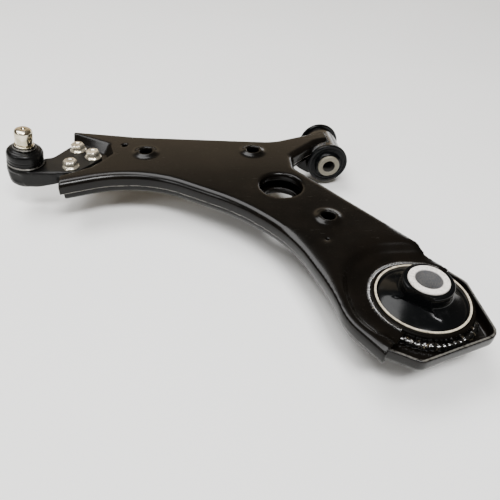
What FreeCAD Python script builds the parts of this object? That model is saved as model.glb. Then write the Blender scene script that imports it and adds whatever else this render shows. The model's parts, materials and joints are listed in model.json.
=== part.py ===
import FreeCAD, Part
import math
import os

# Two-shell pressed steel front control arm with a bolted ball joint and two rubber bushes.
# Row frame: origin at the centre of the front bush's bore, +Y along that bore, +Z up and square to
# the arm's flat top, -X towards the ball joint. All sizes in millimetres.

# ---- pressed shells ----
TOP_Z = 24.0            # main flat of the upper shell, above the front bush's axis
ARM_BOTTOM_Z = 0.0      # underside of the lower shell
SHEET = 3.0             # sheet thickness of both shells
NEST_GAP = 0.1          # air between the nested walls
UPPER_WALL_Z = 10.0     # lower edge of the upper shell's walls
LOWER_WALL_Z = 14.0     # upper edge of the lower shell's walls
UPPER_FOLD_R = 7.0      # outer bend radius between flat and wall
LOWER_FOLD_R = 6.0
POCKET_Z = 16.0         # floor of the pocket under the ball joint's plate
PLATEAU_Z = 13.0        # flat round the rear bush
PLATEAU_SLOPE = 10.0    # width of the drawn slope round the plateau
PAD_SLOPE = 3.0         # width of the slope round the lower shell's bolt pad
BACK_SHARE = 0.8        # inner face of a slope lies this share of the sheet behind its outer face
COLLAR_DEPTH = 10.0     # turned-in rim of the large hole, upper shell
LOWER_RIM = 8.0         # turned-in rim of the large hole, lower shell
UPPER_END_X = -299.5    # sawn outer end of the upper shell
LOWER_END_X = -296.5
TONGUE_TIP_X = 1.0

# ---- front bush, along Y at the origin ----
TUBE_R = 21.0
TUBE_HALF = 23.9
SADDLE_NEAR_Y = -19.5    # ends of the lower shell's cup under the tube
SADDLE_FAR_Y = 14.0
FRONT_SLEEVE_R = 18.0   # outer sleeve, outside
FRONT_SLEEVE_WALL = 1.5
FRONT_CORE_R = 12.9     # inner sleeve, outside
FRONT_BORE_R = 7.0
FRONT_CORE_HALF = 35.5
FRONT_FLANGE_R = 24.3
FRONT_FLANGE_Y = 29.0   # outer face of the rubber flange

# ---- rear bush, along Z ----
REAR_X = 23.2
REAR_Y = -270.5
RING_R = 43.5
RING_WALL = 3.5
RING_TOP_Z = 13.8
RING_BOTTOM_Z = -12.0
REAR_SLEEVE_TOP_Z = 15.0
REAR_SLEEVE_BOTTOM_Z = -14.0
REAR_SLEEVE_WALL = 1.6
REAR_CORE_R = 17.0
REAR_BORE_R = 11.0
REAR_CORE_TOP_Z = 35.0
REAR_CORE_BOTTOM_Z = -31.0
REAR_BLOCK_R = 21.5     # rubber block round the core's head
REAR_BLOCK_FLAT = 18.3  # its two flats
REAR_BLOCK_BOTTOM_Z = -27.0
REAR_BLOCK_TURN = 49.0  # degrees, direction square to the flats

# ---- ball joint, leaning inboard ----
BALL_FOOT = FreeCAD.Vector(-339.6, -55.0, 23.8)   # centre of the boot's lower ring
BALL_LEAN = 8.7         # degrees from +Z towards +X
# Heights named _S run along the leaning axis from BALL_FOOT.
BALL_R = 12.0
BALL_S = -10.5          # ball centre
BALL_FLAT_S = -20.1     # flat under the ball
PIN_R = 8.9
PIN_START_S = 22.4
PIN_END_S = 34.8
PIN_TIP_S = 37.6
HOUSING_R = 18.8
HOUSING_BOTTOM_S = -22.4
SPIGOT_R = 16.5         # lip of the housing that carries the boot
SOCKET_R = 14.0
CAP_R = 14.8
LOWER_WIRE_R = 17.85    # centre line of the spring wire round the boot's foot
UPPER_WIRE_R = 11.0
UPPER_WIRE_S = 17.9
WIRE = 0.8              # wire radius

# ---- fasteners ----
BOLT_R = 4.0
BOLT_CLEARANCE = 0.3
BOLT_HEX = 13.0         # across flats
BOLT_FLANGE_R = 8.9
PLATE_TOP_Z = 21.0
BOLT_PLACES = [(-289.5, -27.2), (-271.3, -43.2), (-292.1, -63.1)]

# ---- holes and bosses of the upper shell ----
LARGE_HOLE = (-72.3, -110.2)
LARGE_HOLE_R = 22.2
LOWER_HOLE_R = 18.8      # the lower shell's hole under it
BOSS_PLACES = [(-214.3, -38.9), (-94.0, -38.5), (-35.5, -168.5)]
BOSS_R = 15.0
BOSS_TOP_R = 8.8
BOSS_HEIGHT = 2.5
BOSS_HOLE_R = 6.8
BOSS_ROOT = 1.0         # depth by which a boss is let into the flat
BOSS_INSIDE = 1.2       # a boss's inner form is this much smaller in radius
PIP_HOLES = [(-239.0, -22.0, 3.0), (-43.5, -201.0, 1.8)]

# Outer wall line of the upper shell: x, y and corner radius. It runs on past the sawn ends and the
# tongue's tip, and the ends are cut square afterwards.
NEAR_EDGE = [(-330.0, -112.0, 10.0), (-220.0, -75.0, 110.0), (-120.0, -140.0, 200.0),
             (-76.0, -191.0, 150.0), (-55.0, -262.0, 200.0), (-51.5, -297.0, 60.0)]
REAR_RUN_OUT = [(-8.5, -370.0, 10.0), (110.0, -370.0, 10.0), (104.0, -297.0, 10.0)]
FAR_EDGE = [(-50.5, -74.0, 10.0), (-49.5, -50.5, 10.0), (-14.5, -18.0, 25.0), (34.0, -1.5, 10.0),
            (34.0, 27.0, 10.0), (-68.0, -13.0, 50.0), (-226.0, 1.5, 150.0), (-330.0, 21.5, 10.0)]
REAR_LIP = [(-34.3, -318.5, 8.0), (-21.0, -324.5, 8.0), (-1.5, -336.5, 10.0), (70.5, -314.5, 12.0),
            (70.6, -254.0, 10.0)]
REAR_CUT = [(62.0, -236.0), (-30.5, -333.0)]   # line on which the upper shell ends


def vec(x, y, z=0.0):
    return FreeCAD.Vector(x, y, z)


def line_directions(corners):
    count = len(corners)
    directions = []
    for i in range(count):
        here = vec(*corners[i][:2])
        after = vec(*corners[(i + 1) % count][:2])
        directions.append((after - here).normalize())
    return directions


def inset(corners, distance):
    """Corners moved square to the outline, inwards on a left-hand loop, arcs kept concentric."""
    directions = line_directions(corners)
    moved = []
    for i, (x, y, r) in enumerate(corners):
        before = directions[i - 1]
        after = directions[i]
        turn = before.x * after.y - before.y * after.x
        along = before.dot(after)
        push = distance / (1.0 + along)
        nx = -(before.y + after.y) * push
        ny = (before.x + after.x) * push
        radius = r - distance if turn > 0.0 else r + distance
        moved.append((x + nx, y + ny, max(radius, 0.0)))
    return moved


def outline(corners, z):
    """Closed wire of straight runs joined by tangent arcs at the corners."""
    directions = line_directions(corners)
    starts = []
    ends = []
    arcs = []
    for i, (x, y, r) in enumerate(corners):
        before = directions[i - 1]
        after = directions[i]
        corner = vec(x, y, z)
        turn = math.atan2(before.x * after.y - before.y * after.x, before.dot(after))
        if r < 0.05 or abs(turn) < 0.001:
            starts.append(corner)
            ends.append(corner)
            arcs.append(None)
            continue
        reach = r * math.tan(abs(turn) / 2.0)
        first = corner - before * reach
        last = corner + after * reach
        bulge = (after - before).normalize() * (r / math.cos(turn / 2.0) - r)
        starts.append(first)
        ends.append(last)
        arcs.append(Part.Arc(first, corner + bulge, last).toShape())
    edges = []
    for i in range(len(corners)):
        if arcs[i] is not None:
            edges.append(arcs[i])
        after = (i + 1) % len(corners)
        if ends[i].distanceToPoint(starts[after]) > 0.001:
            edges.append(Part.LineSegment(ends[i], starts[after]).toShape())
    return Part.Wire(edges)


def prism(corners, low, high):
    return Part.Face(outline(corners, low)).extrude(vec(0, 0, high - low))


def tapered(low_corners, low, high_corners, high):
    return Part.makeLoft([outline(low_corners, low), outline(high_corners, high)], True, True)


def round_level(shape, z, radius):
    """Rounds every edge that lies at height z."""
    edges = [e for e in shape.Edges if abs(e.BoundBox.ZMin - z) < 0.01 and abs(e.BoundBox.ZMax - z) < 0.01]
    return shape.makeFillet(radius, edges)


def post(x, y, r, low, high):
    return Part.makeCylinder(r, high - low, vec(x, y, low))


def turned(points):
    """Solid turned about Z from a closed list of (radius, height) points."""
    wire = Part.makePolygon([vec(r, 0, z) for r, z in points + points[:1]])
    return Part.Face(wire).revolve(vec(0, 0, 0), vec(0, 0, 1), 360)


def tube(outer, inner, low, high):
    return turned([(inner, low), (outer, low), (outer, high), (inner, high)])


def along_front_axis(shape):
    """Turns a shape made about Z so that its axis is the front bush's, along +Y."""
    shape.rotate(vec(0, 0, 0), vec(1, 0, 0), -90)
    return shape


def on_ball_axis(shape):
    """Leans a shape made about Z and stands it on the ball joint's axis."""
    shape.rotate(vec(0, 0, 0), vec(0, 1, 0), BALL_LEAN)
    shape.translate(BALL_FOOT)
    return shape


def at_rear_bush(shape):
    shape.translate(vec(REAR_X, REAR_Y, 0))
    return shape


def wall_outline():
    return NEAR_EDGE + REAR_RUN_OUT + FAR_EDGE


def nested_outline():
    """Wall line of the lower shell: inside the upper one, then out round the rear lip."""
    inner = inset(wall_outline(), SHEET + NEST_GAP)
    near = inner[:len(NEAR_EDGE)]
    far = inner[len(NEAR_EDGE) + len(REAR_RUN_OUT):]
    return near + REAR_LIP + far


def pocket_floor():
    return [(-340.0, -83.0, 0.0), (-301.0, -83.0, 20.0), (-270.0, -66.0, 20.0), (-255.5, -43.5, 5.0),
            (-260.5, -29.5, 6.0), (-299.0, -1.0, 6.0), (-340.0, -1.0, 0.0)]


def pocket_rim():
    return [(-340.0, -86.0, 0.0), (-300.0, -86.0, 20.0), (-268.5, -67.5, 20.0), (-249.5, -39.0, 5.0),
            (-254.5, -18.0, 7.0), (-295.0, 6.0, 6.0), (-340.0, 6.0, 0.0)]


def pocket(grow, sink):
    low = inset(pocket_floor(), -grow)
    high = inset(pocket_rim(), -grow)
    return tapered(low, POCKET_Z - sink, high, TOP_Z + 0.02)


def plateau_rim():
    return [(150.0, -206.0, 0.0), (-46.5, -206.0, 60.0), (-46.5, -299.0, 45.0), (1.0, -349.0, 0.0),
            (150.0, -349.0, 0.0)]


def plateau(grow, sink):
    rim = plateau_rim()
    low = inset(rim, PLATEAU_SLOPE - grow)
    high = inset(rim, -grow)
    return tapered(low, PLATEAU_Z - sink, high, TOP_Z + 0.02)


def beyond_rear_cut():
    """Everything on the bush's outer side of the upper shell's end."""
    (ax, ay), (bx, by) = REAR_CUT
    run = vec(bx - ax, by - ay).normalize()
    side = vec(-run.y, run.x)
    a = vec(ax, ay) - run * 200
    b = vec(bx, by) + run * 200
    wire = Part.makePolygon([a, b, b + side * 300, a + side * 300, a])
    solid = Part.Face(wire).extrude(vec(0, 0, 200))
    solid.translate(vec(0, 0, -100))
    return solid


def tube_room():
    return Part.makeCylinder(TUBE_R, 200, vec(0, -100, 0), vec(0, 1, 0))


def boss(r_base, r_top, low, high, place):
    """Raised rim round a hole: a root below low, a hollow foot, a sloping flank and a round shoulder."""
    rise = high - low
    flank = (r_base + r_top) / 2.0
    bend = vec(flank - 0.6, 0, low + rise * 0.55)
    foot = Part.Arc(vec(r_base, 0, low), vec(flank + 1.0, 0, low + rise * 0.22), bend)
    crown = Part.Arc(bend, vec(r_top + 0.9, 0, high - rise * 0.1), vec(r_top - 0.8, 0, high))
    rest = Part.makePolygon([vec(r_top - 0.8, 0, high), vec(0, 0, high), vec(0, 0, low - BOSS_ROOT),
                             vec(r_base, 0, low - BOSS_ROOT), vec(r_base, 0, low)])
    loop = Part.Wire([foot.toShape(), crown.toShape()] + rest.Edges)
    solid = Part.Face(loop).revolve(vec(0, 0, 0), vec(0, 0, 1), 360)
    solid.translate(vec(place[0], place[1], 0))
    return solid


def upper_shell():
    walls = wall_outline()
    skin = round_level(prism(walls, UPPER_WALL_Z, TOP_Z), TOP_Z, UPPER_FOLD_R)
    hollow = prism(inset(walls, SHEET), UPPER_WALL_Z - 1.0, TOP_Z - SHEET)
    hollow = round_level(hollow, TOP_Z - SHEET, UPPER_FOLD_R - SHEET)
    hollow = hollow.cut([pocket(SHEET * BACK_SHARE, SHEET), plateau(SHEET * BACK_SHARE, SHEET)])
    skin = skin.cut([pocket(0.0, 0.0), plateau(0.0, 0.0)])
    for place in BOSS_PLACES:
        skin = skin.fuse(boss(BOSS_R, BOSS_TOP_R, TOP_Z, TOP_Z + BOSS_HEIGHT, place))
        hollow = hollow.fuse(boss(BOSS_R - BOSS_INSIDE, BOSS_TOP_R - BOSS_INSIDE, TOP_Z - SHEET,
                                  TOP_Z + BOSS_HEIGHT - SHEET, place))
    shell = skin.cut(hollow)
    collar_low = TOP_Z - COLLAR_DEPTH
    shell = shell.fuse(post(*LARGE_HOLE, LARGE_HOLE_R + SHEET, collar_low, TOP_Z - 1.0))
    for place in BOSS_PLACES:
        shell = shell.fuse(post(*place, BOSS_HOLE_R + 2.0, TOP_Z - 3.0, TOP_Z + 2.0))
    holes = [post(*LARGE_HOLE, LARGE_HOLE_R, collar_low - 1.0, TOP_Z + 1.0)]
    holes.append(rim_flare(LARGE_HOLE, LARGE_HOLE_R, TOP_Z, 2.5, 1.0))
    for place in BOSS_PLACES:
        holes.append(post(*place, BOSS_HOLE_R, 0.0, TOP_Z + 10.0))
        holes.append(rim_flare(place, BOSS_HOLE_R, TOP_Z + BOSS_HEIGHT, 1.5, 1.0))
    for x, y, r in PIP_HOLES:
        holes.append(post(x, y, r, TOP_Z - 6.0, TOP_Z + 1.0))
    for place in BOLT_PLACES:
        holes.append(post(*place, BOLT_R + BOLT_CLEARANCE, 0.0, TOP_Z))
    holes.append(post(REAR_X, REAR_Y, RING_R, -50.0, 60.0))
    holes.append(Part.makeBox(200, 200, 60, vec(UPPER_END_X - 200, -150, -5)))
    holes.append(Part.makeBox(60, 80, 60, vec(TONGUE_TIP_X, -45, 0)))
    holes.append(beyond_rear_cut())
    holes.append(tube_room())
    return shell.cut(holes)


def rim_flare(place, bore, z, radius, side):
    """Quarter-round ring cut that softens a hole's mouth. side is +1 for an upper mouth."""
    wire = [vec(bore, 0, z - side * radius), vec(bore + radius * 0.3, 0, z - side * radius * 0.3),
            vec(bore + radius, 0, z)]
    arc = Part.Arc(*wire).toShape()
    up = vec(bore + radius, 0, z + side)
    inner = vec(bore - 1.0, 0, z + side)
    low = vec(bore - 1.0, 0, z - side * radius)
    rest = Part.makePolygon([wire[2], up, inner, low, wire[0]])
    loop = Part.Wire([arc] + rest.Edges)
    ring = Part.Face(loop).revolve(vec(0, 0, 0), vec(0, 0, 1), 360)
    ring.translate(vec(place[0], place[1], 0))
    return ring


def lower_shell():
    walls = nested_outline()
    skin = round_level(prism(walls, ARM_BOTTOM_Z, LOWER_WALL_Z), ARM_BOTTOM_Z, LOWER_FOLD_R)
    hollow = prism(inset(walls, SHEET), ARM_BOTTOM_Z + SHEET, LOWER_WALL_Z + 1.0)
    hollow = round_level(hollow, ARM_BOTTOM_Z + SHEET, LOWER_FOLD_R - SHEET)
    pad_top = POCKET_Z - SHEET
    pad = bolt_pad(0.0, ARM_BOTTOM_Z, pad_top)
    pad_hollow = bolt_pad(-SHEET, ARM_BOTTOM_Z - 1.0, pad_top - SHEET)
    shell = skin.cut(hollow.cut(pad)).cut(pad_hollow)
    rim_top = ARM_BOTTOM_Z + LOWER_RIM
    shell = shell.fuse(post(*LARGE_HOLE, LOWER_HOLE_R + SHEET, ARM_BOTTOM_Z + 1.0, rim_top))
    shell = shell.fuse(tube_saddle().cut(skin.cut(shell)))
    holes = [post(*LARGE_HOLE, LOWER_HOLE_R, -5.0, rim_top + 1.0)]
    holes.append(rim_flare(LARGE_HOLE, LOWER_HOLE_R, ARM_BOTTOM_Z, 2.5, -1.0))
    for place in BOLT_PLACES:
        holes.append(post(*place, BOLT_R + BOLT_CLEARANCE, -5.0, TOP_Z))
    holes.append(post(REAR_X, REAR_Y, RING_R, -50.0, 60.0))
    holes.append(Part.makeBox(200, 200, 60, vec(LOWER_END_X - 200, -150, -5)))
    holes.append(Part.makeBox(100, 90, 60, vec(TONGUE_TIP_X - 12.0, -50, -5)))
    holes.append(tube_room())
    under_pocket = pocket(SHEET * BACK_SHARE + NEST_GAP, SHEET)
    under_plateau = plateau(SHEET * BACK_SHARE + NEST_GAP, SHEET + NEST_GAP).cut(beyond_rear_cut())
    return shell.cut(holes + [under_pocket, under_plateau])


def below_tube(radius, degrees):
    """Point (x, z) at an angle from straight below the tube's axis, positive towards +X."""
    return radius * math.sin(math.radians(degrees)), -radius * math.cos(math.radians(degrees))


def tube_saddle():
    """The lower shell's end: a sheet that drops from the pan and cups the eye tube from below."""
    cup = TUBE_R + SHEET
    slope = [(-48.0, ARM_BOTTOM_Z), (-41.0, -4.0), (-32.0, -12.0), (-22.0, -17.5)]
    under = [below_tube(cup, a) for a in (-28, -20, -10, 0, 8)]
    back = [below_tube(TUBE_R, a) for a in (8, 0, -20, -40)]
    inside = [(-22.0, -13.6), (-31.0, -8.4), (-39.0, -1.0), (-46.0, ARM_BOTTOM_Z + SHEET)]
    ring = [vec(x, SADDLE_NEAR_Y, z) for x, z in slope + under + back + inside]
    sheet = Part.Face(Part.makePolygon(ring + ring[:1])).extrude(vec(0, SADDLE_FAR_Y - SADDLE_NEAR_Y, 0))
    corner = [below_tube(TUBE_R, a) for a in (-40, -60, -90)]
    sheet = sheet.common(prism(inset(wall_outline(), SHEET + NEST_GAP), -2 * cup, LOWER_WALL_Z))
    web_line = slope + [(-15.0, -18.0)] + corner + [(-21.5, 8.0), (-38.0, 8.0)]
    web = [vec(x, SADDLE_NEAR_Y, z) for x, z in web_line]
    web = Part.Face(Part.makePolygon(web + web[:1])).extrude(vec(0, SHEET, 0))
    return sheet.fuse(web).cut(tube_room())


def bolt_pad(grow, low, high):
    """Raised pad of the lower shell that meets the pocket's underside."""
    top = [(-340.0, -81.0, 0.0), (-299.0, -81.0, 16.0), (-272.0, -68.0, 12.0), (-253.5, -43.0, 7.0),
           (-295.0, -2.0, 8.0), (-340.0, -2.0, 0.0)]
    return tapered(inset(top, -grow - PAD_SLOPE), low, inset(top, -grow), high)


def front_eye_tube():
    return along_front_axis(tube(TUBE_R, FRONT_SLEEVE_R, -TUBE_HALF, TUBE_HALF))


def front_bush_outer_sleeve():
    inner = FRONT_SLEEVE_R - FRONT_SLEEVE_WALL
    return along_front_axis(tube(FRONT_SLEEVE_R, inner, -TUBE_HALF, TUBE_HALF))


def front_bush_rubber():
    bond = FRONT_SLEEVE_R - FRONT_SLEEVE_WALL
    inner = FRONT_CORE_R + 0.05
    back = TUBE_HALF + 0.1
    face = FRONT_FLANGE_Y
    half = [(bond, 0.0), (bond, back), (FRONT_FLANGE_R - 0.8, back), (FRONT_FLANGE_R, back + 0.8),
            (FRONT_FLANGE_R, face - 1.0), (FRONT_FLANGE_R - 1.0, face), (21.0, face), (20.4, face - 0.9),
            (19.6, face - 0.9), (19.0, face), (17.6, face), (17.0, face - 0.9), (16.4, face - 0.9),
            (15.8, face), (14.6, face + 3.4), (inner, face + 3.8), (inner, 0.0)]
    upper = turned(half)
    lower = upper.mirror(vec(0, 0, 0), vec(0, 0, 1))
    return along_front_axis(upper.fuse(lower).removeSplitter())


def front_bush_inner_sleeve():
    end = FRONT_CORE_HALF
    profile = [(FRONT_BORE_R, -end + 0.6), (FRONT_BORE_R + 0.6, -end), (FRONT_CORE_R - 0.8, -end),
               (FRONT_CORE_R, -end + 0.8), (FRONT_CORE_R, end - 0.8), (FRONT_CORE_R - 0.8, end),
               (FRONT_BORE_R + 0.6, end), (FRONT_BORE_R, end - 0.6)]
    return along_front_axis(turned(profile))


def eye_tube_welds():
    """Bead along the tongue's tip, and a bead round the tube at the tongue's near edge."""
    tip = Part.makeCylinder(3.4, 30.0, vec(TONGUE_TIP_X + 0.6, -16.0, TOP_Z - 3.4), vec(0, 1, 0))
    bead = [(TUBE_R - 0.5, -23.0), (TUBE_R + 0.9, -22.6), (TUBE_R + 2.6, -20.6), (TUBE_R + 3.2, -17.5),
            (TUBE_R - 0.5, -17.5)]
    wire = Part.makePolygon([vec(r, 0, z) for r, z in bead + bead[:1]])
    side = Part.Face(wire).revolve(vec(0, 0, 0), vec(0, 0, 1), 72)
    side = along_front_axis(side)
    side.rotate(vec(0, 0, 0), vec(0, 1, 0), -92)
    keep_out = [tube_room(), upper_shell_cached()]
    solids = []
    for raw in (tip, side):
        left = raw.cut(keep_out)
        solids.append(max(left.Solids, key=lambda s: s.Volume))
    return Part.Compound(solids)


def rear_housing_ring():
    inner = RING_R - RING_WALL
    profile = [(inner, RING_BOTTOM_Z), (RING_R, RING_BOTTOM_Z), (RING_R, RING_TOP_Z - 1.0),
               (RING_R - 1.0, RING_TOP_Z), (inner, RING_TOP_Z)]
    return at_rear_bush(turned(profile))


def rear_bush_outer_sleeve():
    outer = RING_R - RING_WALL
    inner = outer - REAR_SLEEVE_WALL
    return at_rear_bush(tube(outer, inner, REAR_SLEEVE_BOTTOM_Z, REAR_SLEEVE_TOP_Z))


def flatted_block(radius, flat, low, high, turn):
    block = Part.makeCylinder(radius, high - low, vec(0, 0, low))
    slab = Part.makeBox(2 * flat, 4 * radius, high - low + 2, vec(-flat, -2 * radius, low - 1))
    block = block.common(slab)
    block.rotate(vec(0, 0, 0), vec(0, 0, 1), turn)
    return block


def rear_bush_rubber():
    bond = RING_R - RING_WALL - REAR_SLEEVE_WALL
    inner = REAR_CORE_R + 0.05
    top = REAR_CORE_TOP_Z - 1.4
    dome = [(inner, -17.0), (28.0, -15.0), (bond, -12.0), (bond, 11.5), (bond - 2.0, 13.0), (33.0, 15.0),
            (28.0, 17.6), (23.5, 21.0), (inner, 24.0)]
    body = turned(dome)
    block = flatted_block(REAR_BLOCK_R, REAR_BLOCK_FLAT, 10.0, top, REAR_BLOCK_TURN)
    block = round_level(block, top, 1.2)
    foot = flatted_block(REAR_BLOCK_R, REAR_BLOCK_FLAT, REAR_BLOCK_BOTTOM_Z, -13.0, REAR_BLOCK_TURN)
    hole = Part.makeCylinder(inner, 120, vec(0, 0, -60))
    return at_rear_bush(body.fuse([block, foot]).cut(hole))


def rear_bush_core():
    low = REAR_CORE_BOTTOM_Z
    high = REAR_CORE_TOP_Z
    profile = [(REAR_BORE_R, low + 0.8), (REAR_BORE_R + 0.8, low), (REAR_CORE_R - 0.6, low),
               (REAR_CORE_R, low + 0.6), (REAR_CORE_R, high - 0.6), (REAR_CORE_R - 0.6, high),
               (REAR_BORE_R + 0.8, high), (REAR_BORE_R, high - 0.8)]
    return at_rear_bush(turned(profile))


def rear_ring_welds():
    """Fillet beads between the ring and the sheets: plateau, pan floor and underside."""
    leg = 5.0
    beads = [(PLATEAU_Z, 1.0, 46.0, 186.0), (ARM_BOTTOM_Z + SHEET, 1.0, 234.0, 164.0),
             (ARM_BOTTOM_Z, -1.0, 0.0, 360.0)]
    solids = []
    for z, side, start, sweep in beads:
        rise = min(leg, RING_TOP_Z - PLATEAU_Z) if z == PLATEAU_Z else leg
        low = vec(RING_R, 0, z)
        toe = vec(RING_R + leg, 0, z)
        top = vec(RING_R, 0, z + side * rise)
        crown = vec(RING_R + leg * 0.62, 0, z + side * rise * 0.7)
        loop = Part.Wire([Part.LineSegment(low, toe).toShape(), Part.Arc(toe, crown, top).toShape(),
                          Part.LineSegment(top, low).toShape()])
        bead = Part.Face(loop).revolve(vec(0, 0, 0), vec(0, 0, 1), sweep)
        bead.rotate(vec(0, 0, 0), vec(0, 0, 1), start)
        left = at_rear_bush(bead).cut([upper_shell_cached(), lower_shell_cached()])
        solids.append(max(left.Solids, key=lambda solid: solid.Volume))
    return Part.Compound(solids)


def shell_seam_welds():
    """Stitches under the far wall's lower edge, on the lower shell's wall."""
    walls = wall_outline()
    size = 2.6
    solids = []
    ax, ay = walls[-2][:2]
    bx, by = walls[-3][:2]
    run = vec(bx - ax, by - ay).normalize()
    out = vec(-run.y, run.x)
    for share in (0.2, 0.5, 0.8):
        middle = vec(ax + (bx - ax) * share, ay + (by - ay) * share, UPPER_WALL_Z)
        inner = middle - out * (SHEET + NEST_GAP) - run * 14.0
        corner = inner + out * size
        below = inner - vec(0, 0, size)
        face = Part.Face(Part.makePolygon([inner, corner, below, inner]))
        solids.append(face.extrude(run * 28.0))
    return Part.Compound(solids)


def ball_joint_plate():
    """Three-bolt plate in the pocket, and the neck that runs out from it to the housing."""
    corners = [(-340.0, -71.0, 0.0), (-314.0, -72.0, 14.0), (-301.0, -75.5, 9.0), (-284.5, -73.5, 9.0),
               (-260.0, -44.5, 8.0), (-282.5, -16.0, 9.0), (-299.0, -18.0, 9.0), (-316.0, -46.0, 18.0),
               (-340.0, -46.0, 0.0)]
    plate = prism(corners, POCKET_Z, PLATE_TOP_Z)
    neck_low = 1.5
    neck_corners = [(-341.0, -73.0, 0.0), (-303.0, -76.0, 5.0), (-303.0, -42.0, 5.0), (-341.0, -45.0, 0.0)]
    neck = prism(neck_corners, neck_low, PLATE_TOP_Z - 0.01)
    neck = round_level(neck, neck_low, 4.0)
    slope = Part.makePolygon([vec(-300, -90, -6), vec(-345, -90, -6), vec(-345, -90, -2), vec(-300, -90, 9),
                              vec(-300, -90, -6)])
    wedge = Part.Face(slope).extrude(vec(0, 60, 0))
    boot_room = on_ball_axis(Part.makeCylinder(HOUSING_R + 0.8, 20.0, vec(0, 0, -2.4)))
    return plate.fuse(neck.cut(wedge)).cut(boot_room)


def ball_joint_housing():
    low = HOUSING_BOTTOM_S
    outer = [(0.0, low), (15.2, low), (16.4, low + 1.2), (17.6, -16.5), (HOUSING_R, -8.0),
             (HOUSING_R, -4.0), (18.2, -2.4), (SPIGOT_R, -2.0), (SPIGOT_R, 1.4), (SPIGOT_R - 0.8, 2.0),
             (0.0, 2.0)]
    body = on_ball_axis(turned(outer))
    body = body.fuse(ball_joint_plate())
    facet_depth = 16.7
    facet = Part.makeBox(60, 20, 10.5, vec(-30, -20 - facet_depth, -16.5))
    facet.rotate(vec(0, 0, 0), vec(0, 0, 1), -22.0)
    ball_room = Part.makeSphere(SOCKET_R, vec(0, 0, BALL_S))
    below = Part.makeCylinder(SOCKET_R, 12.0, vec(0, 0, BALL_S - 12.0))
    mouth = Part.makeCone(11.8, 13.4, 8.0)
    mouth.translate(vec(0, 0, -4.6))
    cap_seat = Part.makeCylinder(CAP_R + 0.1, 3.0, vec(0, 0, low - 1.0))
    for cutter in (facet, ball_room, below, mouth, cap_seat):
        body = body.cut(on_ball_axis(cutter))
    for place in BOLT_PLACES:
        body = body.cut(post(*place, BOLT_R + BOLT_CLEARANCE, 0.0, 40.0))
    return body


def ball_socket_liner():
    reach_down = 9.0
    outer = Part.makeSphere(SOCKET_R, vec(0, 0, BALL_S))
    outer = outer.fuse(Part.makeCylinder(SOCKET_R, reach_down, vec(0, 0, BALL_S - reach_down)))
    inner = Part.makeSphere(BALL_R + 0.05, vec(0, 0, BALL_S))
    above = Part.makeBox(60, 60, 30, vec(-30, -30, BALL_S + 6.3))
    below = Part.makeBox(60, 60, 30, vec(-30, -30, BALL_S - reach_down - 30))
    return on_ball_axis(outer.cut([inner, above, below]))


def ball_stud():
    ball = Part.makeSphere(BALL_R, vec(0, 0, BALL_S))
    base = Part.makeBox(40, 40, 20, vec(-20, -20, BALL_FLAT_S - 20))
    ball = ball.cut(base)
    tip = PIN_TIP_S
    shank = [(0.0, BALL_S), (6.0, BALL_S), (6.0, 3.0), (8.4, 12.0), (8.4, 19.6), (9.9, 19.8), (9.9, 21.2),
             (9.3, 21.5), (7.9, 21.6), (7.9, 22.0), (PIN_R, PIN_START_S), (PIN_R, PIN_END_S),
             (8.2, tip - 1.3), (6.4, tip - 0.2), (1.6, tip), (0.0, tip - 1.6)]
    return on_ball_axis(ball.fuse(turned(shank)))


def ball_joint_cap():
    """Pressed-in cap, dished inside to follow the ball."""
    top = HOUSING_BOTTOM_S + 1.6
    profile = [(0.0, top - 3.6), (8.0, top - 3.6), (11.5, top - 1.9), (CAP_R, top - 1.9), (CAP_R, top),
               (0.0, top)]
    dish = Part.makeSphere(BALL_R + 0.35, vec(0, 0, BALL_S))
    return on_ball_axis(turned(profile).cut(dish))


def dust_boot():
    """Thin rubber boot: bead and groove on the housing's lip, full belly, bead on the stud."""
    bead = SPIGOT_R + 0.05
    outer = [(bead, -1.6), (18.3, -1.6), (18.3, 1.6), (17.8, 2.2), (18.3, 3.0), (18.4, 4.6), (18.4, 10.4),
             (18.1, 12.2), (17.4, 13.6), (16.2, 14.8), (14.4, 15.8), (12.6, 16.4), (10.9, 16.8), (10.7, 17.0),
             (10.7, 18.9), (11.1, 19.1), (10.8, 19.4), (8.9, 19.4), (8.5, 19.0), (8.5, 16.6), (10.4, 15.2),
             (13.8, 14.0), (15.6, 12.6), (16.4, 11.2), (16.7, 9.4), (16.7, 4.6), (16.3, 2.6), (bead, 1.9)]
    lower_seat = Part.makeTorus(LOWER_WIRE_R, WIRE + 0.1, vec(0, 0, 0))
    upper_seat = Part.makeTorus(UPPER_WIRE_R, WIRE + 0.3, vec(0, 0, UPPER_WIRE_S))
    return on_ball_axis(turned(outer).cut([lower_seat, upper_seat]))


def boot_lower_ring():
    return on_ball_axis(Part.makeTorus(LOWER_WIRE_R, WIRE, vec(0, 0, 0)))


def boot_upper_ring():
    return on_ball_axis(Part.makeTorus(UPPER_WIRE_R, WIRE, vec(0, 0, UPPER_WIRE_S)))


def hexagon(turn, z):
    """Closed ring of a hexagon's corners, turned by some degrees about Z."""
    corner_r = BOLT_HEX / math.sqrt(3.0)
    angles = [math.radians(60 * k + turn) for k in range(7)]
    return [vec(corner_r * math.cos(a), corner_r * math.sin(a), z) for a in angles]


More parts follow.
